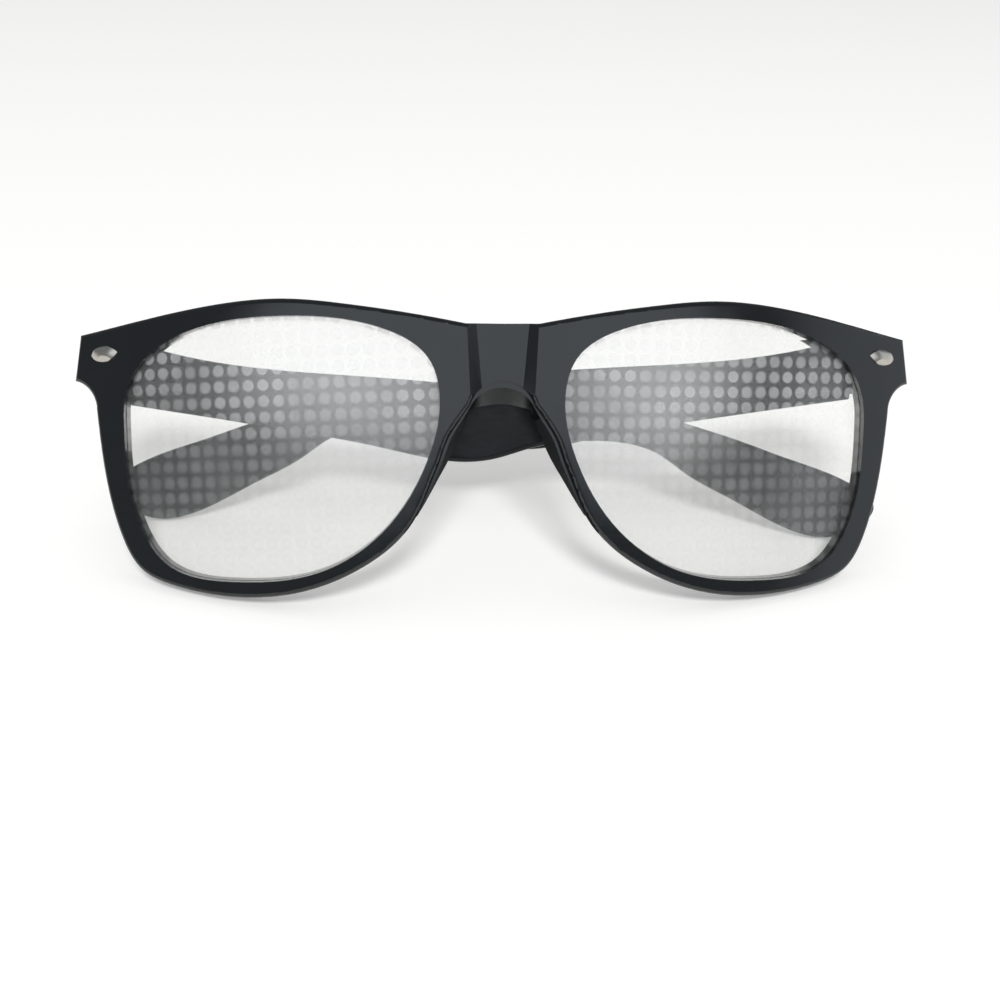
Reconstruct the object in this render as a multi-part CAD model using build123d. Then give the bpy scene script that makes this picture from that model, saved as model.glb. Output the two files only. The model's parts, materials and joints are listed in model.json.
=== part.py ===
"""Folded thick-rimmed glasses with clear diffraction film lenses.

The front is moulded in one piece, bent to a cylinder, and holds two film lenses in grooves.
Each side arm turns on a three-knuckle metal hinge. Everything is drawn with the front upright,
its foremost point at Y 0, looking towards -Y, and its lowest rim at Z 0. At the end the whole
pair leans back to the pose in which it stands on its rims and the tips of its arms.
Left and right are as seen from the front: left is -X. Units are millimetres.
"""
import os
from math import asin, degrees, sqrt

from build123d import *

# Front: overall sizes and curve
front_width = 146.2        # over both end pieces
front_height = 50.0        # lowest rim to top of brow
front_curve = 156.0        # radius of the cylinder that the front follows
rim_depth = 4.8            # thickness of the front, front to back
edge_round = 0.8           # rounding of the front's outer edges
overrun = 1.0              # how far cutting shapes pass through

# Lens openings
opening_width = 53.7
opening_height = 44.2
bridge_gap = 20.4          # between the two openings, at their closest
opening_rise = 2.7         # bottom of an opening above the lowest rim

# Film lenses and the grooves that hold them
lens_thickness = 0.5
lens_bite = 0.8            # how far a lens reaches into the rim
lens_clearance = 0.05      # on each face of the lens, and beyond its edge
lens_setback = 1.9         # front of the rim to the middle of the lens

# End pieces: the corners that carry the hinges
end_height = 7.9           # height of the corner at its side
end_back = 28.3            # back face of the corner, behind the foremost point
end_drop = 6.1             # top of the brow down to the corner's top
end_slant = 1.3            # how much the corner's side leans out on its way down
end_hollow = 1.6           # depth of the curve under the corner
end_wall = 0.9             # plastic kept between the lens opening and the hinge seat
seat_margin = 1.2          # plastic above and below the hinge plate

# Bridge, saddle and nose pads
bridge_height = 9.2        # top edge down to the arch
bridge_dip = 4.3           # top of the brow down to the bridge's top edge
arch_half = 5.3            # half width of the arch at its foot
arch_height = 4.1
panel_depth = 0.9          # how deep the centre panel is set in
panel_top_half = 4.4       # half width of the panel's floor, at the top and at the arch
panel_low_half = 3.1
facet_top = 1.7            # width of the sloped strip beside the panel
facet_low = 2.3
saddle_fall = 4.4          # arch crown at the front down to the saddle's edge at the back
saddle_start = 2.0         # saddle and pads begin this far behind the front's foremost point
pad_back = 9.8             # back of the nose pads behind the foremost point
pad_bulge = 2.0            # how far a pad stands into the nose gap
pad_root = 1.2             # how far a pad's root reaches into the rim
pad_low = 14.2             # height of a pad's lower end

# Corner studs
stud_length = 5.5
stud_height = 2.7
stud_proud = 0.7           # height of the stud's crown above the plastic
stud_sink = 0.4            # depth of its seat
stud_inset = 5.8           # end of the front to the stud's centre
stud_drop = 3.2            # corner's top down to the stud's centre
stud_tilt = 7.0            # the outer end points down, degrees
stud_pin_radius = 0.45
stud_pin_pitch = 1.9

# Hinges
hinge_inset = 6.6          # end of the front to the hinge axis
hinge_stand = 0.2          # hinge axis behind the corner's back face
hinge_drop = 5.3           # corner's top down to the hinge's middle
hinge_height = 6.4
knuckle_radius = 1.5
knuckle_gap = 0.1          # between neighbouring knuckles
middle_share = 0.36        # share of the hinge's height that the arm's knuckle takes
plate_thickness = 1.0
plate_width = 4.2
plate_stand = 0.6          # knuckle to the face of the front plate
web_thickness = 2.0
screw_radius = 0.7
screw_clearance = 0.05     # in the arm's knuckle
screw_head_radius = 1.2
screw_head_height = 0.6
slot_width = 0.35
slot_depth = 0.3
leaf_length = 9.6          # arm leaf: from the axis along the arm
leaf_start = 1.9           # where it widens to its full height
leaf_height = 4.6
leaf_drop = 3.6            # hinge's middle down to the leaf's lower edge
leaf_sink = 0.6            # how deep the leaf sits in the arm
seat_clearance = 0.04      # round a plate in its pocket
rivet_radius = 0.55
rivet_head_radius = 0.95
rivet_head_height = 0.3
rivet_shank = 1.7
rivet_pitch = 3.4
rivet_start = 4.2          # first rivet from the axis

# Arms
arm_length = 139.0         # hinge axis to tip
arm_butt = 3.5             # thickness at the hinge
arm_tip = 2.8              # thickness at the tip
arm_height = 9.6           # just behind the hinge
arm_gap = 2.5              # hinge axis to the arm's inner face
arm_bow = 4.5              # how far the tip curves inwards
bow_start = 30.0
bow_steps = 8              # stretches that its curve is drawn through
arm_round = 0.9
top_left = 2.6             # arm's top line above the hinge's middle
top_right = 4.1
droop_left = 5.68          # slope of the folded arm, degrees
droop_right = 5.04
short_left = 0.0           # degrees short of parallel to the front when folded
short_right = 3.1          # this arm lies behind the other one
open_angle = 90.0          # from parallel to the front to fully open

# Standing pose
recline = 22.6             # degrees that the folded pair leans back

# Outlines as shares of the sizes above, chosen by hand
opening_shares = [
    (0.500, 0.111), (0.431, 0.333), (0.232, 0.462), (-0.023, 0.500), (-0.318, 0.458), (-0.466, 0.345),
    (-0.500, 0.197), (-0.466, -0.018), (-0.345, -0.271), (-0.150, -0.443), (0.137, -0.500),
    (0.371, -0.437), (0.463, -0.260),
]
brow_shares = [
    (0.082, 0.915), (0.198, 0.946), (0.345, 0.977), (0.490, 0.995), (0.655, 0.975), (0.820, 0.929),
]
side_shares = [
    (0.945, 0.626), (0.936, 0.500), (0.919, 0.350), (0.886, 0.190), (0.838, 0.080), (0.755, 0.028),
    (0.595, 0.000), (0.452, 0.026), (0.310, 0.116), (0.212, 0.240),
]
nose_shares = [(0.177, 0.330), (0.158, 0.400), (0.139, 0.470), (0.123, 0.536), (0.098, 0.596)]
pad_shares = [0.55, 0.85, 1.0, 1.0, 0.8]       # of the pad's bulge, at each point of the nose
arm_top_shares = [
    (0.00, 0.20), (0.035, 0.10), (0.09, 0.0), (0.30, 0.0), (0.60, -0.01), (0.675, -0.10), (0.755, -0.31),
    (0.813, -0.49), (0.878, -0.73), (0.957, -1.04),
]
tip_share = (1.0, -1.50)
cut_shares = [0.0, 0.25, 0.47, 0.75, 1.0]      # where the arm's outline is split into edges
arm_low_shares = [
    (0.965, -2.08), (0.921, -2.19), (0.863, -1.96), (0.806, -1.61), (0.748, -1.25), (0.705, -0.90),
    (0.655, -0.76), (0.590, -0.84), (0.535, -1.05), (0.490, -1.32), (0.445, -1.45), (0.395, -1.43),
    (0.320, -1.30), (0.245, -1.21), (0.115, -1.09), (0.0, -1.00),
]
pad_side_shares = [(0.90, 0.78), (1.0, 0.70), (1.0, 0.36), (0.72, 0.20), (0.40, 0.0)]

# Worked out from the sizes
half_width = front_width / 2
corner_top = front_height - end_drop
corner_low = corner_top - end_height
bridge_top = front_height - bridge_dip
arch_crown = bridge_top - bridge_height
arch_foot = arch_crown - arch_height
saddle_edge = arch_crown - saddle_fall
opening_x = bridge_gap / 2 + opening_width / 2
opening_z = opening_rise + opening_height / 2
axis_x = half_width - hinge_inset
axis_y = end_back + hinge_stand
axis_z = corner_top - hinge_drop
plate_face = axis_y - knuckle_radius - plate_stand
side_x = axis_x + knuckle_radius + plate_stand / 2
plate_low_x = side_x - plate_width - seat_clearance
hinge_low = axis_z - hinge_height / 2
hinge_top = axis_z + hinge_height / 2
middle_half = hinge_height * middle_share / 2


def curve_y(x, depth=0.0):
    """Where the front's curved face lies at x, or a face this deep behind it."""
    return front_curve - sqrt((front_curve - depth) ** 2 - x**2)


def flat_points(points):
    """Points (x, z) in the plane of the front."""
    return [Vector(x, 0, z) for x, z in points]


def prism(edges, near, far):
    """A solid with this outline in the front's plane, from near to far behind it."""
    face = Face(Wire(edges))
    return Pos(Y=near) * Solid.extrude(face, Vector(0, far - near, 0))


def block(x_range, y_range, z_range):
    """A box between the given limits."""
    ranges = (x_range, y_range, z_range)
    middle = [(low + high) / 2 for low, high in ranges]
    return Pos(*middle) * Box(*[high - low for low, high in ranges])


def rod(radius, low, high, x=0.0, y=0.0):
    """An upright round bar."""
    return Pos(x, y, (low + high) / 2) * Cylinder(radius, high - low)


def curved_slab(near, far):
    """A slab between two depths, bent like the front."""
    tall = front_height + 4 * overrun
    ring = Cylinder(front_curve - near, tall) - Cylinder(front_curve - far, tall)
    ring = Pos(0, front_curve, front_height / 2) * ring
    wide = (-half_width - overrun, half_width + overrun)
    return ring & block(wide, (-overrun, end_back), (-overrun, front_height + overrun))


def mirrored(shape):
    """The same shape on the left."""
    return shape.mirror(Plane.YZ)


def opening_outline(grow=0.0):
    """The right lens opening's outline, moved outwards by a margin."""
    points = [(opening_x + a * opening_width, opening_z + b * opening_height) for a, b in opening_shares]
    edge = Edge.make_spline(flat_points(points), periodic=True)
    if grow == 0:
        return edge
    middle = Vector(opening_x, 0, opening_z)
    moved = []
    for i in range(len(points)):
        spot = edge.position_at(i / len(points))
        along = edge.tangent_at(i / len(points))
        outward = Vector(along.Z, 0, -along.X)
        if outward.dot(spot - middle) < 0:
            outward = -outward
        moved.append(spot + outward * grow)
    return Edge.make_spline(moved, periodic=True)


def front_outline():
    """The front's outer outline, with the arch for the nose."""
    w, h = half_width, front_height
    brow = flat_points([(a * w, b * h) for a, b in brow_shares] + [(w - end_slant, corner_top)])
    side = flat_points([(a * w, b * h) for a, b in side_shares + nose_shares] + [(arch_half, arch_foot)])
    low_corner = Vector(w, 0, corner_low)
    under = (low_corner + side[0]) * 0.5 + Vector(-end_hollow / 2, 0, end_hollow / 2)
    right = [
        Edge.make_line(Vector(0, 0, bridge_top), brow[0]),
        Edge.make_spline(brow),
        Edge.make_line(brow[-1], low_corner),
        Edge.make_three_point_arc(low_corner, under, side[0]),
        Edge.make_spline(side),
    ]
    arch = [(arch_half, arch_foot), (0, arch_crown), (-arch_half, arch_foot)]
    arch = Edge.make_three_point_arc(*flat_points(arch))
    return right + [arch] + [mirrored(edge) for edge in right]


def nose_section(y, bulge, crown, foot):
    """Outline of the space for the nose at one depth."""
    w, h = half_width, front_height
    side = [(a * w - share * bulge, b * h) for (a, b), share in zip(nose_shares, pad_shares)]
    side = [(side_shares[-1][0] * w, side_shares[-1][1] * h)] + side + [(arch_half, foot)]
    right = [Vector(x, y, z) for x, z in side]
    left = [Vector(-x, y, z) for x, z in side]
    floor = [Vector(side[0][0], y, -overrun), Vector(-side[0][0], y, -overrun)]
    return Wire([
        Edge.make_line(floor[1], floor[0]),
        Edge.make_line(floor[0], right[0]),
        Edge.make_spline(right),
        Edge.make_three_point_arc(right[-1], Vector(0, y, crown), left[-1]),
        Edge.make_spline(left[::-1]),
        Edge.make_line(left[0], floor[1]),
    ])


def saddle_and_pads():
    """The moulded saddle behind the bridge with the two nose pads that run down from it."""
    w, h = half_width, front_height
    root = [(arch_half + 2 * pad_root, arch_crown), (arch_half + pad_root, arch_foot)]
    root += [(a * w + pad_root, b * h) for a, b in nose_shares[::-1]]
    root += [(side_shares[-1][0] * w, pad_low)]
    top = bridge_top - 2 * edge_round
    points = flat_points(root)
    right = [
        Edge.make_line(Vector(0, 0, top), Vector(root[0][0], 0, top)),
        Edge.make_line(Vector(root[0][0], 0, top), points[0]),
        Edge.make_spline(points),
        Edge.make_line(points[-1], Vector(0, 0, pad_low)),
    ]
    body = prism(right + [mirrored(edge) for edge in right], saddle_start, pad_back)
    rise = top - pad_low
    side = [Vector(0, saddle_start, top), Vector(0, rim_depth, top)]
    side += [Vector(0, a * pad_back, pad_low + b * rise) for a, b in pad_side_shares]
    side += [Vector(0, saddle_start, pad_low)]
    profile = Face(Wire.make_polygon(side, close=True))
    profile = Pos(X=-half_width) * Solid.extrude(profile, Vector(front_width, 0, 0))
    void = Solid.make_loft([
        nose_section(-overrun, 0.0, arch_crown, arch_foot),
        nose_section(pad_back + overrun, pad_bulge, saddle_edge, saddle_edge - edge_round),
    ], ruled=True)
    return (body & profile) - void


def bridge_panel():
    """What is cut from the bridge's face: a flat panel between two sloped strips."""
    def section(z, floor, strip):
        outer = floor + strip
        return Wire.make_polygon([
            Vector(-outer, -overrun, z), Vector(-outer, 0, z), Vector(-floor, panel_depth, z),
            Vector(floor, panel_depth, z), Vector(outer, 0, z), Vector(outer, -overrun, z),
        ], close=True)
    top = section(bridge_top + overrun, panel_top_half, facet_top)
    low = section(arch_foot, panel_low_half, facet_low)
    return Solid.make_loft([low, top], ruled=True)


def end_piece():
    """The right corner behind the rim: an outer block and, inboard of it, the seat for the hinge."""
    outer = block((side_x, half_width + overrun), (0, end_back), (corner_low, corner_top))
    inner = block((opening_x, side_x + overrun), (0, plate_face), (hinge_low - seat_margin, corner_top))
    inner -= prism([opening_outline(end_wall)], -overrun, end_back + overrun)
    inside = prism(front_outline(), 0, end_back + overrun) & curved_slab(rim_depth / 2, end_back)
    return (outer + inner) & inside


def lens_body(grow, clearance):
    """A film lens, or with a clearance the space for it, on the right."""
    near = lens_setback - lens_thickness / 2 - clearance
    far = lens_setback + lens_thickness / 2 + clearance
    return prism([opening_outline(grow)], 0, end_back) & curved_slab(near, far)


def stud_base():
    """The stud's pointed oval outline, laid flat and centred."""
    half_l, half_h = stud_length / 2, stud_height / 2
    arcs = [
        Edge.make_three_point_arc(Vector(-half_l, 0, 0), Vector(0, half_h, 0), Vector(half_l, 0, 0)),
        Edge.make_three_point_arc(Vector(half_l, 0, 0), Vector(0, -half_h, 0), Vector(-half_l, 0, 0)),
    ]
    return Face(Wire(arcs))


def stud_place():
    """Where the right stud sits on the curved face, looking out along its own +Z."""
    x = half_width - stud_inset
    turn = degrees(asin(x / front_curve))
    return Pos(x, curve_y(x), corner_top - stud_drop) * Rot(Z=turn) * Rot(X=90) * Rot(Z=-stud_tilt)


def stud_pins(radius, low):
    """Two short pins behind the stud, down to the given level."""
    pins = [Pos(side * stud_pin_pitch / 2, 0, (low - stud_sink) / 2) for side in (-1, 1)]
    return [pin * Cylinder(radius, -low - stud_sink) for pin in pins]


def make_stud():
    """A low metal dome with a pointed oval outline and two pins."""
    half_l, half_h = stud_length / 2, stud_height / 2
    arc = (half_l**2 + half_h**2) / (2 * half_h)
    base = Pos(Z=-stud_sink) * Solid.extrude(stud_base(), Vector(0, 0, stud_sink + stud_proud))
    dome_radius = (half_l**2 + stud_proud**2) / (2 * stud_proud)
    dome = Pos(Z=stud_proud - dome_radius) * Sphere(dome_radius)
    ridge = Rot(Y=90) * Cylinder((half_h**2 + stud_proud**2) / (2 * stud_proud), 2 * arc)
    ridge = Pos(Z=stud_proud - (half_h**2 + stud_proud**2) / (2 * stud_proud)) * ridge
    stud = base & dome & ridge
    for pin in stud_pins(stud_pin_radius, -rim_depth + edge_round):
        stud += pin
    return stud


def outer_edges(slab):
    """The long edges of the slab's outline, on its front and back face."""
    return [edge for edge in slab.edges() if edge.length > rim_depth + edge_round]


def make_front():
    """The moulded front: rims, bridge, saddle, pads and end pieces in one piece."""
    front = prism(front_outline(), -overrun, end_back) & curved_slab(0.0, rim_depth)
    front = fillet(outer_edges(front), edge_round)
    front -= bridge_panel()
    front += saddle_and_pads()
    corner = end_piece()
    front = front + corner + mirrored(corner)
    opening = prism([opening_outline()], -overrun, end_back + overrun)
    groove = lens_body(lens_bite + lens_clearance, lens_clearance)
    seat = stud_place() * (Pos(Z=-stud_sink) * Solid.extrude(stud_base(), Vector(0, 0, stud_sink + overrun)))
    for pin in stud_pins(stud_pin_radius, -rim_depth + edge_round):
        seat += stud_place() * pin
    pocket = block(
        (plate_low_x - seat_clearance, plate_low_x + plate_width + seat_clearance),
        (plate_face - plate_thickness, plate_face + overrun),
        (hinge_low - seat_clearance, hinge_top + seat_clearance),
    )
    for cut in (opening, groove, seat, pocket):
        front = front - cut - mirrored(cut)
    return front


def front_leaf():
    """The right hinge's front plate with its upper and lower knuckle, bored for the screw."""
    plate = block(
        (plate_low_x, plate_low_x + plate_width),
        (plate_face - plate_thickness, plate_face),
        (hinge_low, hinge_top),
    )
    leaf = plate
    lower = (hinge_low, axis_z - middle_half - knuckle_gap)
    upper = (axis_z + middle_half + knuckle_gap, hinge_top)
    for low, high in (lower, upper):
        leaf += rod(knuckle_radius, low, high, axis_x, axis_y)
        web = (axis_x - web_thickness / 2, axis_x + web_thickness / 2)
        leaf += block(web, (plate_face - plate_thickness, axis_y), (low, high))
    return leaf - rod(screw_radius, hinge_low - overrun, hinge_top + overrun, axis_x, axis_y)


def hinge_screw():
    """The right hinge's screw: a plain shaft with a slotted head on top."""
    screw = rod(screw_radius, hinge_low, hinge_top, axis_x, axis_y)
    screw += rod(screw_head_radius, hinge_top, hinge_top + screw_head_height, axis_x, axis_y)
    top = hinge_top + screw_head_height
    slot = (axis_x - screw_head_radius - overrun, axis_x + screw_head_radius + overrun)
    half = slot_width / 2
    return screw - block(slot, (axis_y - half, axis_y + half), (top - slot_depth, top + overrun))


def arm_leaf(droop):
    """The arm's hinge leaf on its own axis: the arm runs along +X, its inner face looks to -Y."""
    face = arm_gap + leaf_sink - plate_thickness
    tall = (-middle_half, middle_half)
    plate = block((leaf_start, leaf_length), (face, arm_gap + leaf_sink), (-leaf_drop, leaf_height - leaf_drop))
    plate = Rot(Y=droop) * plate
    knuckle = rod(knuckle_radius, -middle_half, middle_half)
    neck = block((0, leaf_start + plate_thickness), (face, arm_gap), tall)
    neck += block((0, knuckle_radius), (0, arm_gap), tall)
    leaf = plate + knuckle + neck
    for hole in rivet_spots(droop):
        leaf -= hole * Cylinder(rivet_radius, 2 * (arm_butt + arm_gap))
    return leaf - rod(screw_radius + screw_clearance, -hinge_height, hinge_height)


def rivet_spots(droop):
    """Where the two rivets cross the arm leaf, each with +Z out of the arm's inner face."""
    face = arm_gap + leaf_sink - plate_thickness
    middle = leaf_height / 2 - leaf_drop
    rows = [rivet_start + i * rivet_pitch for i in range(2)]
    return [Rot(Y=droop) * Pos(u, face, middle) * Rot(X=90) for u in rows]


def arm_rivets(droop):
    """Two rivets that hold the leaf to the arm, each with a low round head."""
    rivets = []
    depth = plate_thickness + rivet_shank
    for spot in rivet_spots(droop):
        shank = Pos(Z=-depth / 2) * Cylinder(rivet_radius, depth)
        head = Pos(Z=rivet_head_height / 2) * Cylinder(rivet_head_radius, rivet_head_height)
        rivets.append(spot * (shank + head))
    return rivets[0] + rivets[1]


def arm_body(droop, top):
    """One arm on its hinge axis, running along +X, with its inner face towards the front."""
    def place(points):
        return [Vector(a * arm_length, 0, top + b * arm_height) for a, b in points]

    points = place(arm_top_shares + [tip_share] + arm_low_shares)
    loop = Edge.make_spline(points)
    pieces = [loop.trim(near, far) for near, far in zip(cut_shares, cut_shares[1:])]
    butt = [points[-1] - Vector(overrun, 0, 0), points[0] - Vector(overrun, 0, 0)]
    corners = [points[-1], *butt, points[0]]
    pieces += [Edge.make_line(start, end) for start, end in zip(corners, corners[1:])]
    side = Face(Wire(pieces))
    body = Pos(Y=-arm_length / 2) * Solid.extrude(side, Vector(0, arm_length, 0))

    def bow(u):
        return arm_bow * max(0.0, (u - bow_start) / (arm_length - bow_start)) ** 2

    span = arm_length + 2 * overrun
    stations = [-overrun + span * i / bow_steps for i in range(bow_steps + 1)]
    inner = [Vector(u, arm_gap - bow(u), 0) for u in stations]
    taper = (arm_tip - arm_butt) / arm_length
    outer = [Vector(u, arm_gap - bow(u) + arm_butt + taper * u, 0) for u in stations]
    plan = Face(Wire([
        Edge.make_spline(inner),
        Edge.make_line(inner[-1], outer[-1]),
        Edge.make_spline(outer),
        Edge.make_line(outer[0], inner[0]),
    ]))
    body &= Pos(Z=-arm_length / 2) * Solid.extrude(plan, Vector(0, 0, arm_length))
    long_edges = [e for e in body.edges() if e.length > 2 * arm_butt and e.center().X > arm_round]
    body = fillet(long_edges, arm_round)
    reach = (-arm_length, arm_length)
    return Rot(Y=droop) * body & block((0, arm_length + arm_butt), reach, reach)


def make_arm(droop, top):
    """The arm with its pocket for the leaf and holes for the rivets."""
    pocket = block((-overrun, leaf_length + seat_clearance), (arm_gap - overrun, arm_gap + leaf_sink),
                   (-leaf_drop - seat_clearance, leaf_height - leaf_drop + seat_clearance))
    body = arm_body(droop, top) - Rot(Y=droop) * pocket
    depth = plate_thickness + rivet_shank
    for spot in rivet_spots(droop):
        body -= spot * Pos(Z=-depth / 2) * Cylinder(rivet_radius, depth)
    return body


front = make_front()
parts = {"front_frame": front}
lens = lens_body(lens_bite, 0.0)
stud = stud_place() * make_stud()
right_side = {
    "lens": lens,
    "stud": stud,
    "hinge_front_leaf": front_leaf(),
    "hinge_screw": hinge_screw(),
}
for name, shape in right_side.items():
    parts[name + "_right"] = shape
    parts[name + "_left"] = mirrored(shape)

left_hinge = Pos(-axis_x, axis_y, axis_z) * Rot(Z=short_left)
right_hinge = Pos(-axis_x, axis_y, axis_z) * Rot(Z=short_right)
parts["temple_left"] = left_hinge * make_arm(droop_left, top_left)
parts["temple_right"] = mirrored(right_hinge * make_arm(droop_right, top_right))
parts["hinge_temple_leaf_left"] = left_hinge * arm_leaf(droop_left)
parts["hinge_temple_leaf_right"] = mirrored(right_hinge * arm_leaf(droop_right))
parts["temple_rivets_left"] = left_hinge * arm_rivets(droop_left)
parts["temple_rivets_right"] = mirrored(right_hinge * arm_rivets(droop_right))

leaned = {name: Rot(X=-recline) * shape for name, shape in parts.items()}
boxes = [shape.bounding_box() for shape in leaned.values()]
low = Vector(*[min(getattr(box.min, side) for box in boxes) for side in "XYZ"])
high = Vector(*[max(getattr(box.max, side) for box in boxes) for side in "XYZ"])
shift = Pos(-(low.X + high.X) / 2, -(low.Y + high.Y) / 2, -low.Z)

os.makedirs("parts", exist_ok=True)
for name, shape in leaned.items():
    export_step(shift * shape, f"parts/{name}.step")

print("size", high - low, "shift", shift.position)
for side in (-1, 1):
    print("hinge", (shift * Rot(X=-recline) * Pos(side * axis_x, axis_y, axis_z)).position)
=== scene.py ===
# %% [markdown]
# # Folded diffraction glasses
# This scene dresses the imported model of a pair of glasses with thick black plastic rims, clear
# film lenses and two folded arms. The solids come from the frame and stay where they are. Blender
# adds what solids can't say: gloss, metal, see-through film and the hazy dots in it.

# %% Start
import json
from math import atan2, cos, degrees, radians, sin

import bmesh
import bpy
from mathutils import Matrix, Vector


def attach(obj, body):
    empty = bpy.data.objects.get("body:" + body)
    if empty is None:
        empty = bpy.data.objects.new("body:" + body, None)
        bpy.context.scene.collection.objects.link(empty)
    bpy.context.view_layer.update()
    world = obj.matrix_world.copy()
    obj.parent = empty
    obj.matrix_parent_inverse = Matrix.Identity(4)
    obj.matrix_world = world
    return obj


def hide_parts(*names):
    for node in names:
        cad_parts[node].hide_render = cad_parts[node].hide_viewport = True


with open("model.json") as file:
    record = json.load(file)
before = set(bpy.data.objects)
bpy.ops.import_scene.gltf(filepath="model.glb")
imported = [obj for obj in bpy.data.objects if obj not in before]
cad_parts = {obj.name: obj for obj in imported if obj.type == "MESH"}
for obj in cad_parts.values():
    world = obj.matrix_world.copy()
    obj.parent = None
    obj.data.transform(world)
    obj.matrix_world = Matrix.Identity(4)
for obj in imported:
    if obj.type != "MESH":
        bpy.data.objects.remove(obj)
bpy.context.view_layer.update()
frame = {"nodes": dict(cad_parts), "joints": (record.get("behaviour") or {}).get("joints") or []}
MM = 0.001
print("nodes", sorted(frame["nodes"]))

# %% [markdown]
# ## Where the front stands
# The pair rests on its rims and the tips of its arms, so the front leans back. The left hinge's
# axis tells by how much, and its place ties the drawing of the upright front to the table. Every
# size taken from the front can then be given as if the front were upright.

# %% Lean and place of the front
left_hinge = next(joint for joint in frame["joints"] if joint["name"] == "hinge_left")
lean = atan2(left_hinge["axis"][1], left_hinge["axis"][2])
upright_hinge = Vector((-66.5, 28.5, 38.6)) * MM
leaning = Matrix.Rotation(-lean, 4, "X")
stand = Matrix.Translation(Vector(left_hinge["pos_m"]) - leaning @ upright_hinge) @ leaning
print("lean in degrees", round(degrees(lean), 2))
print("shift in mm", [round(v / MM, 2) for v in stand.translation])

# %% [markdown]
# ## Camera
# The view is a little left of the middle and above, from close by, so the near rims look larger
# than the arm tips. A long lens further away would flatten that. The camera's place is given
# before the lean and then leans with the front.

# %% Camera at the photograph's place
view_yaw, view_pitch, view_roll = radians(-2.81), radians(5.40), radians(0.23)
view_distance = 220 * MM
view_target = Vector((-0.4, 0.0, 17.1)) * MM
view_back = Vector((sin(view_yaw) * cos(view_pitch), -cos(view_yaw) * cos(view_pitch), sin(view_pitch)))
view_right = Vector((cos(view_yaw), sin(view_yaw), 0.0))
view_up = view_back.cross(view_right)
view = Matrix((view_right, view_up, view_back)).transposed().to_4x4() @ Matrix.Rotation(view_roll, 4, "Z")
view = Matrix.Translation(view_target + view_distance * view_back) @ view

camera_data = bpy.data.cameras.new("photo_camera")
camera_data.sensor_width = 36.0
camera_data.lens = 48.5
camera_data.clip_start = 10 * MM
camera = bpy.data.objects.new("photo_camera", camera_data)
bpy.context.scene.collection.objects.link(camera)
camera.matrix_world = stand @ view
bpy.context.scene.camera = camera
bpy.context.scene.view_settings.view_transform = "Standard"
print("camera at", [round(v, 4) for v in camera.matrix_world.translation])


# %% [markdown]
# ## Small helpers
# Colours are written as sRGB hex values, the way a paint card gives them, and turned to linear
# light here. One helper adds a node with its settings and its links or values, for shaders and
# for geometry alike.

# %% Helpers for colours and nodes
def linear(hex_colour):
    """An sRGB hex colour as linear RGBA."""
    parts = [int(hex_colour[i:i + 2], 16) / 255 for i in (0, 2, 4)]
    return [v / 12.92 if v <= 0.04045 else ((v + 0.055) / 1.055) ** 2.4 for v in parts] + [1.0]


def add(tree, kind, inputs=None, **settings):
    """A new node. An input's value is a socket to link from, or a plain value."""
    made = tree.nodes.new(kind)
    for name, value in settings.items():
        setattr(made, name, value)
    for key, value in (inputs or {}).items():
        if isinstance(value, bpy.types.NodeSocket):
            tree.links.new(value, made.inputs[key])
        else:
            made.inputs[key].default_value = value
    return made


def new_material(name):
    """An empty node material, with its tree and its output's surface socket."""
    material = bpy.data.materials.new(name)
    material.use_nodes = True
    material.node_tree.nodes.clear()
    output = material.node_tree.nodes.new("ShaderNodeOutputMaterial")
    return material, material.node_tree, output.inputs["Surface"]


def two_tones(tree, share, dark, light):
    """The colour between two sRGB hex colours, by share."""
    ramp = add(tree, "ShaderNodeValToRGB", {"Fac": share})
    for stop, hex_colour in zip(ramp.color_ramp.elements, (dark, light)):
        stop.color = linear(hex_colour)
    return ramp.outputs["Color"]


# %% [markdown]
# ## Black moulded polycarbonate
# The front and arms are injection-moulded polycarbonate, polished in the mould. The eye sees
# black with clear reflections, slightly uneven as plastic shrinks while it cools, and a few faint
# rubbing marks. The base colour is nearly black, so the reflections carry the look. The arms get
# a weaker reflection and the top of the nose arch almost none: painted shade, so they read darker
# behind and under the front.

# %% Black moulded polycarbonate
sink_marks_mm, sink_depth_mm = 7.0, 0.12
rubbing_mm = 0.5
rub_stretch = (0.2, 1.0, 1.0)     # the marks run five times as far along the pair as across it


def moulded_plastic(name, smoothest, roughest, specular):
    """Black polycarbonate from a polished mould, with its range of roughness."""
    material, tree, surface = new_material(name)
    place = add(tree, "ShaderNodeTexCoord").outputs["Object"]
    waves = add(tree, "ShaderNodeTexNoise", {
        "Vector": place, "Scale": 1 / (sink_marks_mm * MM), "Detail": 1.0})
    stretch = add(tree, "ShaderNodeMapping", {"Vector": place, "Scale": rub_stretch})
    rubs = add(tree, "ShaderNodeTexNoise", {
        "Vector": stretch.outputs["Vector"], "Scale": 1 / (rubbing_mm * MM), "Detail": 3.0})
    gloss = add(tree, "ShaderNodeMapRange", {
        "Value": rubs.outputs["Fac"], "From Min": 0.35, "From Max": 0.75,
        "To Min": smoothest, "To Max": roughest})
    uneven = add(tree, "ShaderNodeBump", {
        "Height": waves.outputs["Fac"], "Strength": 0.35, "Distance": sink_depth_mm * MM})
    plastic = add(tree, "ShaderNodeBsdfPrincipled", {
        "Base Color": two_tones(tree, waves.outputs["Fac"], "080A0B", "0F1315"),
        "Roughness": gloss.outputs["Result"], "Normal": uneven.outputs["Normal"],
        "IOR": 1.55, "Specular IOR Level": specular})
    tree.links.new(plastic.outputs["BSDF"], surface)
    print(name, len(tree.nodes), "nodes")
    return material


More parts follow.
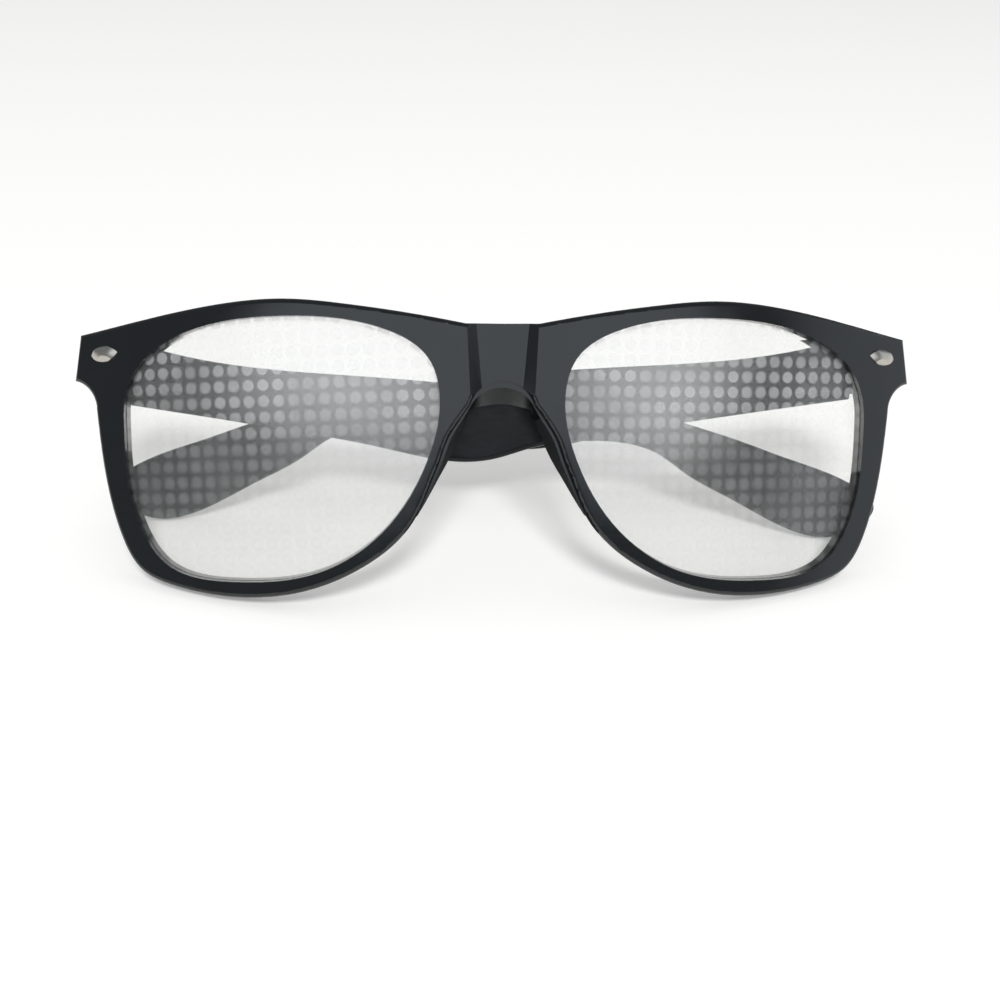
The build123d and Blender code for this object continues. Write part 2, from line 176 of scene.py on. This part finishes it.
black_plastic = moulded_plastic("black_moulded_polycarbonate", smoothest=0.09, roughest=0.16, specular=0.5)
# painted shade: the arms' reflection is weakened so they read darker behind the front
arm_plastic_painted_shade = moulded_plastic("handled_moulded_polycarbonate", smoothest=0.16, roughest=0.26, specular=0.22)
# painted shade: the arch's reflection is almost taken away so it reads dark under the bridge
arch_plastic_painted_shade = moulded_plastic("arch_polycarbonate_painted_shade", smoothest=0.16, roughest=0.26, specular=0.02)

# %% [markdown]
# ## Fine grain
# The other solid finishes are built alike. One fine noise moves their tone, their gloss and their
# surface together, so a speck that stands up is also a little paler and duller.

# %% Grain in tone, gloss and surface
def grained_material(name, grain_mm, detail, dark, light, roughness, bump, bump_mm, shader):
    """A material with a fine grain, with its range of roughness and its shader's constants."""
    material, tree, surface = new_material(name)
    place = add(tree, "ShaderNodeTexCoord").outputs["Object"]
    grain = add(tree, "ShaderNodeTexNoise", {
        "Vector": place, "Scale": 1 / (grain_mm * MM), "Detail": detail}).outputs["Fac"]
    gloss = add(tree, "ShaderNodeMapRange", {
        "Value": grain, "To Min": roughness[0], "To Max": roughness[1]})
    rise = add(tree, "ShaderNodeBump", {"Height": grain, "Strength": bump, "Distance": bump_mm * MM})
    skin = add(tree, "ShaderNodeBsdfPrincipled", {
        "Base Color": two_tones(tree, grain, dark, light), "Roughness": gloss.outputs["Result"],
        "Normal": rise.outputs["Normal"], **shader})
    tree.links.new(skin.outputs["BSDF"], surface)
    print(name, len(tree.nodes), "nodes")
    return material


# %% [markdown]
# ## Nose walls with painted shade
# The walls that face the nose get the same black with a fine grain and hardly any reflection:
# painted shade, so they stay dark where they would mirror the white table.

# %% Nose walls with painted shade
nose_wall_plastic_painted_shade = grained_material(
    "nose_wall_polycarbonate_painted_shade", grain_mm=0.25, detail=3.0, dark="0B0E0F", light="111517",
    roughness=(0.60, 0.75), bump=0.3, bump_mm=0.03, shader={"IOR": 1.55, "Specular IOR Level": 0.03})

# %% [markdown]
# ## Bright nickel
# The small ornaments on the corners are stamped metal with a bright nickel plating. It mirrors
# the room softly, with a faint warm tint and fine polishing marks.

# %% Bright nickel for the corner ornaments
bright_nickel = grained_material(
    "bright_nickel_plating", grain_mm=0.12, detail=2.0, dark="A5A199", light="CDC8BE",
    roughness=(0.16, 0.3), bump=0.2, bump_mm=0.01, shader={"Metallic": 1.0})

# %% [markdown]
# ## Dark plated hinge steel
# The hinges, screws and rivets are pressed steel with a dark nickel plating, so they hardly show
# beside the black plastic. Pressing and tumbling leave a fine grain, and the reflections are broad.

# %% Dark plated hinge steel
hinge_steel = grained_material(
    "tumbled_dark_nickel", grain_mm=0.2, detail=4.0, dark="4B4C4E", light="6A6B6C",
    roughness=(0.28, 0.45), bump=0.3, bump_mm=0.02, shader={"Metallic": 1.0})

# %% [markdown]
# ## Clear film
# The lenses are thin polyester film. It bends no light that the eye would notice, so it is made
# of three things: what passes straight through, a mirror share that grows towards grazing angles
# the same on both faces, and a slight milky haze from the embossed grating. In the upper middle
# of each film that haze is raised in a soft patch: a painted reflection of the bright room.

# %% Clear polyester film
ripple_mm, ripple_depth_mm = 16.0, 0.5
haze_share = 0.05
thinnest, thickest = 0.7, 1.3     # how far the haze varies over the film
reflection_haze_share = 0.13                 # painted reflection: more haze in the middle of a bright patch
reflection_core, reflection_rim = 0.2, 1.5    # where a patch starts to fade and where it ends, in its sizes
head_on_mirror, grazing_power = 0.04, 5.0
painted_reflections = {                         # middle and size of the patches of painted reflection, where the pair stands
    "left": (Vector((-26.0, 0.0, 37.0)) * MM, (19.0 * MM, 60 * MM, 11.0 * MM)),
    "right": (Vector((26.0, 0.0, 35.0)) * MM, (15.0 * MM, 60 * MM, 12.0 * MM)),
}
clear_film, tree, surface = new_material("clear_polyester_film")
place = add(tree, "ShaderNodeTexCoord").outputs["Object"]
ripple = add(tree, "ShaderNodeTexNoise", {"Vector": place, "Scale": 1 / (ripple_mm * MM), "Detail": 2.0})
bent = add(tree, "ShaderNodeBump", {
    "Height": ripple.outputs["Fac"], "Strength": 0.5, "Distance": ripple_depth_mm * MM})
haze_and_reflection = add(tree, "ShaderNodeMapRange", {
    "Value": ripple.outputs["Fac"], "From Min": 0.3, "From Max": 0.7,
    "To Min": thinnest * haze_share, "To Max": thickest * haze_share}).outputs["Result"]
for middle, spread in painted_reflections.values():
    from_middle = add(tree, "ShaderNodeVectorMath", {0: place, 1: middle}, operation="SUBTRACT").outputs[0]
    in_sizes = add(tree, "ShaderNodeVectorMath", {0: from_middle, 1: spread}, operation="DIVIDE").outputs[0]
    away = add(tree, "ShaderNodeVectorMath", {0: in_sizes}, operation="LENGTH").outputs["Value"]
    reflection_patch = add(tree, "ShaderNodeMapRange", {
        "Value": away, "From Min": reflection_core, "From Max": reflection_rim, "To Min": reflection_haze_share, "To Max": 0.0},
        interpolation_type="SMOOTHSTEP")
    haze_and_reflection = add(tree, "ShaderNodeMath", {0: haze_and_reflection, 1: reflection_patch.outputs["Result"]}, operation="ADD").outputs[0]
clear = add(tree, "ShaderNodeBsdfTransparent", {"Color": linear("FDFDFC")})
milky = add(tree, "ShaderNodeBsdfDiffuse", {"Color": linear("EDEFEF")})
through = add(tree, "ShaderNodeMixShader", {
    0: haze_and_reflection, 1: clear.outputs["BSDF"], 2: milky.outputs["BSDF"]})
mirror = add(tree, "ShaderNodeBsdfGlossy", {"Roughness": 0.06, "Normal": bent.outputs["Normal"]})
facing = add(tree, "ShaderNodeLayerWeight", {"Blend": 0.5})
steep = add(tree, "ShaderNodeMath", {0: facing.outputs["Facing"], 1: grazing_power}, operation="POWER")
mirror_share = add(tree, "ShaderNodeMapRange", {
    "Value": steep.outputs["Value"], "To Min": head_on_mirror, "To Max": 1.0})
film = add(tree, "ShaderNodeMixShader", {
    0: mirror_share.outputs["Result"], 1: through.outputs["Shader"], 2: mirror.outputs["BSDF"]})
tree.links.new(film.outputs["Shader"], surface)

# %% [markdown]
# ## Hazy dots
# The grating is stamped into the film in round cells. Each cell scatters light, so it looks like
# a pale dot over the dark arms and a faint grey dot over the white table. Its edge is soft. The
# dot's own mesh carries the distance from its middle, and the shader fades the haze with it.

# %% Haze of one grating cell
dot_haze_low, dot_haze_high = 0.07, 0.24
low_mm, high_mm = 21.0, 36.0       # painted light: heights between which the cells are made hazier, where they catch more light
uneven_mm = 9.0
weakest, strongest = 0.7, 1.3      # how far the cells vary from place to place
soft_edge = 0.72                   # share of the radius where a cell starts to fade
grating_haze, tree, surface = new_material("stamped_grating_haze")
reach = add(tree, "ShaderNodeAttribute", attribute_name="from_middle")
fade = add(tree, "ShaderNodeMapRange", {
    "Value": reach.outputs["Fac"], "From Min": soft_edge, "From Max": 1.0, "To Min": 1.0, "To Max": 0.0},
    interpolation_type="SMOOTHSTEP")
place = add(tree, "ShaderNodeTexCoord").outputs["Object"]
height = add(tree, "ShaderNodeSeparateXYZ", {"Vector": place}).outputs["Z"]
# painted light: the cells' haze grows with height, where they catch more light
painted_light_by_height = add(tree, "ShaderNodeMapRange", {
    "Value": height, "From Min": low_mm * MM, "From Max": high_mm * MM,
    "To Min": dot_haze_low, "To Max": dot_haze_high}, interpolation_type="SMOOTHSTEP")
patches = add(tree, "ShaderNodeTexNoise", {"Vector": place, "Scale": 1 / (uneven_mm * MM), "Detail": 1.0})
vary = add(tree, "ShaderNodeMapRange", {
    "Value": patches.outputs["Fac"], "From Min": 0.35, "From Max": 0.65,
    "To Min": weakest, "To Max": strongest})
strength = add(tree, "ShaderNodeMath", {
    0: painted_light_by_height.outputs["Result"], 1: vary.outputs["Result"]}, operation="MULTIPLY")
haze = add(tree, "ShaderNodeMath", {0: fade.outputs["Result"], 1: strength.outputs[0]}, operation="MULTIPLY")
clear = add(tree, "ShaderNodeBsdfTransparent")
milky = add(tree, "ShaderNodeBsdfDiffuse", {"Color": linear("EDEFF1")})
cell = add(tree, "ShaderNodeMixShader", {
    0: haze.outputs[0], 1: clear.outputs["BSDF"], 2: milky.outputs["BSDF"]})
tree.links.new(cell.outputs["Shader"], surface)


# %% [markdown]
# ## Smooth plastic
# The frame's meshes are loose triangles, and a polished surface shows each of them. A merged copy
# shares its corners, keeps real edges sharp, and lets the largest faces lead the shading. The copy
# stands in for its node at the same place. The walls that face the nose are picked out on the
# upright front by their place and by the way they face, and get painted shade.

# %% Smooth copies of the moulded parts
merge_mm = 0.002                            # corners nearer than this are one
facet_crease, arm_crease = 20.0, 34.0       # degrees from which an edge stays sharp
largest_lead = 50
nose_reach_mm, nose_top_mm = 16.0, 30.0     # the side walls, from the middle and from below
nose_arch_mm, arch_top_mm = 9.0, 37.0       # the arch over them
wall_turn = 0.3                             # a wall's normal points this much to the nose or more
face_turn = 0.8                             # beyond this a face belongs to the front or the back


def smooth_copy(node_name, piece_name, crease_degrees):
    """A copy of a node with shared corners and smooth shading, as a plain mesh."""
    source = frame["nodes"][node_name].data
    loose = bpy.data.meshes.new(piece_name)
    loose.from_pydata([v.co for v in source.vertices], [], [p.vertices for p in source.polygons])
    work = bmesh.new()
    work.from_mesh(loose)
    bmesh.ops.remove_doubles(work, verts=work.verts, dist=merge_mm * MM)
    work.to_mesh(loose)
    work.free()
    loose.shade_smooth()
    loose.set_sharp_from_angle(angle=radians(crease_degrees))
    piece = bpy.data.objects.new(piece_name, loose)
    bpy.context.scene.collection.objects.link(piece)
    weigh = piece.modifiers.new("largest_faces_lead", "WEIGHTED_NORMAL")
    weigh.keep_sharp = True
    weigh.weight = largest_lead
    shaded = piece.evaluated_get(bpy.context.evaluated_depsgraph_get())
    piece.data = bpy.data.meshes.new_from_object(shaded)
    piece.data.name = piece_name
    piece.modifiers.clear()
    return piece


def paint_nose_shade(piece):
    """Materials with painted shade for the walls that face the nose and for the arch, found on the upright
    front.
    """
    upright = stand.inverted()
    piece.data.materials.append(nose_wall_plastic_painted_shade)
    piece.data.materials.append(arch_plastic_painted_shade)
    count = 0
    for face in piece.data.polygons:
        spot = upright @ face.center / MM
        way = upright.to_3x3() @ face.normal
        side_wall = abs(spot.x) < nose_reach_mm and way.x * spot.x < 0 and abs(way.x) > wall_turn
        arch = abs(spot.x) < nose_arch_mm and way.z < -wall_turn
        under = spot.z < (arch_top_mm if arch else nose_top_mm)
        if (side_wall or arch) and abs(way.y) < face_turn and under:
            # painted shade on the nose walls and on the arch over them
            face.material_index = 2 if spot.z > nose_top_mm else 1
            count += 1
    print("nose faces", count, "of", len(piece.data.polygons))


moulded = {
    "front_frame": ("moulded_front", "front"),
    "temple_left": ("moulded_arm_left", "arm_left"),
    "temple_right": ("moulded_arm_right", "arm_right"),
    "stud_left": ("domed_stud_left", "front"),
    "stud_right": ("domed_stud_right", "front"),
}
for node_name, (piece_name, body) in moulded.items():
    piece = smooth_copy(node_name, piece_name, facet_crease if body == "front" else arm_crease)
    metal = node_name.startswith("stud")
    skin = arm_plastic_painted_shade if body.startswith("arm") else black_plastic
    piece.data.materials.clear()
    piece.data.materials.append(bright_nickel if metal else skin)
    if node_name == "front_frame":
        paint_nose_shade(piece)
    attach(piece, body)
    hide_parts(node_name)
    print(piece_name, len(piece.data.polygons), "faces")

# %% Materials of the nodes that stay
for node_name, node in frame["nodes"].items():
    if node_name.startswith("lens"):
        finish = clear_film
    elif node_name.startswith("stud"):
        finish = bright_nickel
    elif node_name.startswith("temple"):
        finish = arm_plastic_painted_shade
    elif node_name in moulded:
        finish = black_plastic
    else:
        finish = hinge_steel
    node.data.materials.clear()
    node.data.materials.append(finish)

# %% [markdown]
# ## A square grid of dots on a bent film
# The cells repeat in a square grid that follows the film round its bend, so Geometry Nodes make
# them. A flat grid is turned by its tilt and wrapped round the cylinder of the film, then leant
# back with the front. A ray from each point drops the points that miss the film. What is left
# gets a small disc, turned to face out of the film.

# %% Sizes of the film and its dots
film_bend = 154.35 * MM     # radius of the film's outer face
front_bend = 156.0 * MM     # radius of the front's face
cell_radius = 1.17 * MM
cell_corners = 20
dot_lift = 0.02 * MM        # off the film's face
columns, rows = 25, 21      # enough to cover the larger film
ray_reach = 3 * MM          # how far before and behind a point the film is looked for
film_grids = {              # middle on the upright front, tilt, column pitch and row pitch
    "left": (Vector((-37.18, 25.11, 0.0)) * MM, radians(2.7), 2.641 * MM, 2.648 * MM),
    "right": (Vector((39.91, 24.30, 0.0)) * MM, radians(-0.35), 2.642 * MM, 2.589 * MM),
}


# %% The tree that lays the dots
def dot_tree():
    """Geometry Nodes: hazy discs in a square grid on the bent film."""
    tree = bpy.data.node_groups.new("dots_on_bent_film", "GeometryNodeTree")
    ports = tree.interface
    ports.new_socket("Dots", in_out="OUTPUT", socket_type="NodeSocketGeometry")
    for name, kind in (
        ("Film", "Object"), ("Finish", "Material"), ("Middle", "Vector"), ("Tilt", "Float"),
        ("Column Pitch", "Float"), ("Row Pitch", "Float"), ("Columns", "Int"), ("Rows", "Int"),
        ("Radius", "Float"), ("Film Bend", "Float"), ("Front Bend", "Float"), ("Lean", "Float"),
        ("Shift", "Vector"), ("Lift", "Float"),
    ):
        ports.new_socket(name, in_out="INPUT", socket_type="NodeSocket" + kind)
    given = add(tree, "NodeGroupInput").outputs

    def maths(operation, first, second=0.0):
        return add(tree, "ShaderNodeMath", {0: first, 1: second}, operation=operation).outputs[0]

    wide = maths("MULTIPLY", given["Column Pitch"], maths("SUBTRACT", given["Columns"], 1.0))
    tall = maths("MULTIPLY", given["Row Pitch"], maths("SUBTRACT", given["Rows"], 1.0))
    grid = add(tree, "GeometryNodeMeshGrid", {
        "Size X": wide, "Size Y": tall, "Vertices X": given["Columns"], "Vertices Y": given["Rows"]})
    turn = add(tree, "ShaderNodeCombineXYZ", {"Z": given["Tilt"]})
    laid = add(tree, "GeometryNodeTransform", {
        "Geometry": grid.outputs["Mesh"], "Translation": given["Middle"], "Rotation": turn.outputs["Vector"]})

    spot = add(tree, "ShaderNodeSeparateXYZ", {"Vector": add(tree, "GeometryNodeInputPosition").outputs[0]})
    angle = maths("DIVIDE", spot.outputs["X"], given["Front Bend"])
    across = maths("MULTIPLY", given["Film Bend"], maths("SINE", angle))
    behind = maths("MULTIPLY", given["Film Bend"], maths("COSINE", angle))
    behind = maths("SUBTRACT", given["Front Bend"], behind)
    wrapped = add(tree, "ShaderNodeCombineXYZ", {"X": across, "Y": behind, "Z": spot.outputs["Y"]})
    bent = add(tree, "GeometryNodeSetPosition", {
        "Geometry": laid.outputs["Geometry"], "Position": wrapped.outputs["Vector"]})
    back = add(tree, "ShaderNodeCombineXYZ", {"X": maths("MULTIPLY", given["Lean"], -1.0)})
    leant = add(tree, "GeometryNodeTransform", {
        "Geometry": bent.outputs["Geometry"], "Translation": given["Shift"],
        "Rotation": back.outputs["Vector"]})

    look = add(tree, "ShaderNodeCombineXYZ", {
        "Y": maths("COSINE", given["Lean"]), "Z": maths("MULTIPLY", maths("SINE", given["Lean"]), -1.0)})
    ahead = add(tree, "ShaderNodeVectorMath", {
        0: look.outputs["Vector"], "Scale": -ray_reach}, operation="SCALE")
    here = add(tree, "GeometryNodeInputPosition").outputs[0]
    start = add(tree, "ShaderNodeVectorMath", {0: here, 1: ahead.outputs["Vector"]}, operation="ADD")
    film = add(tree, "GeometryNodeObjectInfo", {"Object": given["Film"]}, transform_space="RELATIVE")
    ray = add(tree, "GeometryNodeRaycast", {
        "Target Geometry": film.outputs["Geometry"], "Source Position": start.outputs["Vector"],
        "Ray Direction": look.outputs["Vector"], "Ray Length": 2 * ray_reach})
    missed = add(tree, "FunctionNodeBooleanMath", {0: ray.outputs["Is Hit"]}, operation="NOT")
    kept = add(tree, "GeometryNodeDeleteGeometry", {
        "Geometry": leant.outputs["Geometry"], "Selection": missed.outputs[0]}, domain="POINT")

    disc = add(tree, "GeometryNodeMeshCircle", {"Vertices": cell_corners, "Radius": given["Radius"]},
               fill_type="TRIANGLE_FAN")
    here = add(tree, "GeometryNodeInputPosition").outputs[0]
    reach = add(tree, "ShaderNodeVectorMath", {0: here}, operation="LENGTH")
    share = maths("DIVIDE", reach.outputs["Value"], given["Radius"])
    marked = add(tree, "GeometryNodeStoreNamedAttribute", {
        "Geometry": disc.outputs["Mesh"], "Name": "from_middle", "Value": share},
        data_type="FLOAT", domain="POINT")
    lift = add(tree, "ShaderNodeCombineXYZ", {"Z": given["Lift"]})
    lifted = add(tree, "GeometryNodeTransform", {
        "Geometry": marked.outputs["Geometry"], "Translation": lift.outputs["Vector"]})
    face_out = add(tree, "FunctionNodeAlignRotationToVector", {"Vector": ray.outputs["Hit Normal"]}, axis="Z")
    many = add(tree, "GeometryNodeInstanceOnPoints", {
        "Points": kept.outputs["Geometry"], "Instance": lifted.outputs["Geometry"],
        "Rotation": face_out.outputs["Rotation"]})
    real = add(tree, "GeometryNodeRealizeInstances", {"Geometry": many.outputs["Instances"]})
    done = add(tree, "GeometryNodeSetMaterial", {
        "Geometry": real.outputs["Geometry"], "Material": given["Finish"]})
    add(tree, "NodeGroupOutput", {0: done.outputs["Geometry"]})
    return tree


dots_on_film = dot_tree()
ports = {item.name: item.identifier for item in dots_on_film.interface.items_tree}


# %% Dots of the left and right film
def film_dots(side):
    """The plain mesh of one film's dots."""
    middle, tilt, column_pitch, row_pitch = film_grids[side]
    host = bpy.data.objects.new("dots_host", bpy.data.meshes.new("dots_host"))
    bpy.context.scene.collection.objects.link(host)
    maker = host.modifiers.new("lay_dots", "NODES")
    maker.node_group = dots_on_film
    values = {
        "Film": frame["nodes"]["lens_" + side], "Finish": grating_haze, "Middle": middle, "Tilt": tilt,
        "Column Pitch": column_pitch, "Row Pitch": row_pitch, "Columns": columns, "Rows": rows,
        "Radius": cell_radius, "Film Bend": film_bend, "Front Bend": front_bend, "Lean": lean,
        "Shift": stand.translation, "Lift": dot_lift,
    }
    for name, value in values.items():
        maker[ports[name]] = value
    made = host.evaluated_get(bpy.context.evaluated_depsgraph_get())
    mesh = bpy.data.meshes.new_from_object(made)
    mesh.name = "grating_dots_" + side
    bpy.data.objects.remove(host)
    dots = bpy.data.objects.new("grating_dots_" + side, mesh)
    bpy.context.scene.collection.objects.link(dots)
    return dots


for side in film_grids:
    dots = film_dots(side)
    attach(dots, "front")
    print(dots.name, len(dots.data.polygons), "faces")

# %% [markdown]
# ## Table and light
# The object stands on a white table that runs out of view. A soft lamp and the sky light it at a
# plain level. What the camera and the reflections see of the table gets a little of its own light,
# so that it comes out white while the soft shadows under the rims stay.

# %% White table
table_reach = 3.0
table_glow = 0.25
table_mesh = bpy.data.meshes.new("table")
corners = [(-table_reach, -table_reach, 0), (table_reach, -table_reach, 0),
           (table_reach, table_reach, 0), (-table_reach, table_reach, 0)]
table_mesh.from_pydata(corners, [], [(0, 1, 2, 3)])
table = bpy.data.objects.new("table", table_mesh)
bpy.context.scene.collection.objects.link(table)
white_table, tree, surface = new_material("white_table")
paths = add(tree, "ShaderNodeLightPath").outputs
seen = add(tree, "ShaderNodeMath", {
    0: paths["Is Camera Ray"], 1: paths["Is Glossy Ray"]}, operation="MAXIMUM")
seen = add(tree, "ShaderNodeMath", {0: seen.outputs[0], 1: paths["Is Transmission Ray"]}, operation="MAXIMUM")
glow = add(tree, "ShaderNodeMath", {0: seen.outputs[0], 1: table_glow}, operation="MULTIPLY")
paint = add(tree, "ShaderNodeBsdfDiffuse", {"Color": linear("EFEFEE")})
shine = add(tree, "ShaderNodeEmission", {"Strength": glow.outputs[0]})
both = add(tree, "ShaderNodeAddShader", {0: paint.outputs["BSDF"], 1: shine.outputs["Emission"]})
tree.links.new(both.outputs["Shader"], surface)
table_mesh.materials.append(white_table)

# %% [markdown]
# ## The room in the reflections
# Polished surfaces mirror a plain room: grey walls, a bright window in front of the pair, high
# above the table, and a paler wall on the right. Only reflections see this room, so the light on
# the table stays plain and the background white.

# %% Sky and mirrored room
sky_light = 0.5
wall_tone, window_tone = 0.32, 1.5    # brightness of the walls and of the window
sill, full_window = 0.235, 0.33       # sines of the heights where the window starts and is full
window_fade = -0.66, -0.76            # how far forward it starts and is full
right_fade = 0.74, 0.86               # how far to the right the paler wall starts and is full
side_share = 0.55                     # how bright that wall is, between the two tones
sky = bpy.data.worlds.new("white_room")
bpy.context.scene.world = sky
sky.use_nodes = True
tree = sky.node_tree
tree.nodes.clear()
paths = add(tree, "ShaderNodeLightPath").outputs
seen = add(tree, "ShaderNodeMath", {
    0: paths["Is Camera Ray"], 1: paths["Is Transmission Ray"]}, operation="MAXIMUM")
level = add(tree, "ShaderNodeMapRange", {"Value": seen.outputs[0], "To Min": sky_light, "To Max": 1.0})
plain = add(tree, "ShaderNodeBackground", {"Color": linear("FFFFFF"), "Strength": level.outputs["Result"]})
way = add(tree, "ShaderNodeTexCoord").outputs["Generated"]
part = add(tree, "ShaderNodeSeparateXYZ", {"Vector": way}).outputs
above = add(tree, "ShaderNodeMapRange", {"Value": part["Z"], "From Min": sill, "From Max": full_window})
ahead = add(tree, "ShaderNodeMapRange", {
    "Value": part["Y"], "From Min": window_fade[0], "From Max": window_fade[1]})
window = add(tree, "ShaderNodeMath", {
    0: above.outputs["Result"], 1: ahead.outputs["Result"]}, operation="MULTIPLY")
right = add(tree, "ShaderNodeMapRange", {
    "Value": part["X"], "From Min": right_fade[0], "From Max": right_fade[1],
    "To Min": 0.0, "To Max": side_share})
bright = add(tree, "ShaderNodeMath", {0: window.outputs[0], 1: right.outputs["Result"]}, operation="MAXIMUM")
walls = add(tree, "ShaderNodeMapRange", {
    "Value": bright.outputs[0], "To Min": wall_tone, "To Max": window_tone})
mirrored = add(tree, "ShaderNodeBackground", {"Color": linear("EBF2FA"), "Strength": walls.outputs["Result"]})
room = add(tree, "ShaderNodeMixShader", {
    0: paths["Is Glossy Ray"], 1: plain.outputs["Background"], 2: mirrored.outputs["Background"]})
add(tree, "ShaderNodeOutputWorld", {"Surface": room.outputs["Shader"]})


# %% Lamp
def soft_lamp(name, width, height, watts, place, aim):
    """A rectangular lamp that faces a point."""
    data = bpy.data.lights.new(name, "AREA")
    data.shape = "RECTANGLE"
    data.size, data.size_y, data.energy = width, height, watts
    lamp = bpy.data.objects.new(name, data)
    bpy.context.scene.collection.objects.link(lamp)
    way = Vector(aim) - Vector(place)
    lamp.matrix_world = Matrix.Translation(place) @ way.to_track_quat("-Z", "Y").to_matrix().to_4x4()
    return lamp


front_box = soft_lamp(
    "front_softbox", width=0.45, height=0.35, watts=25.0, place=(0.05, -1.414, 1.414), aim=(0.0, 0.0, 0.0))
front_box.visible_glossy = False
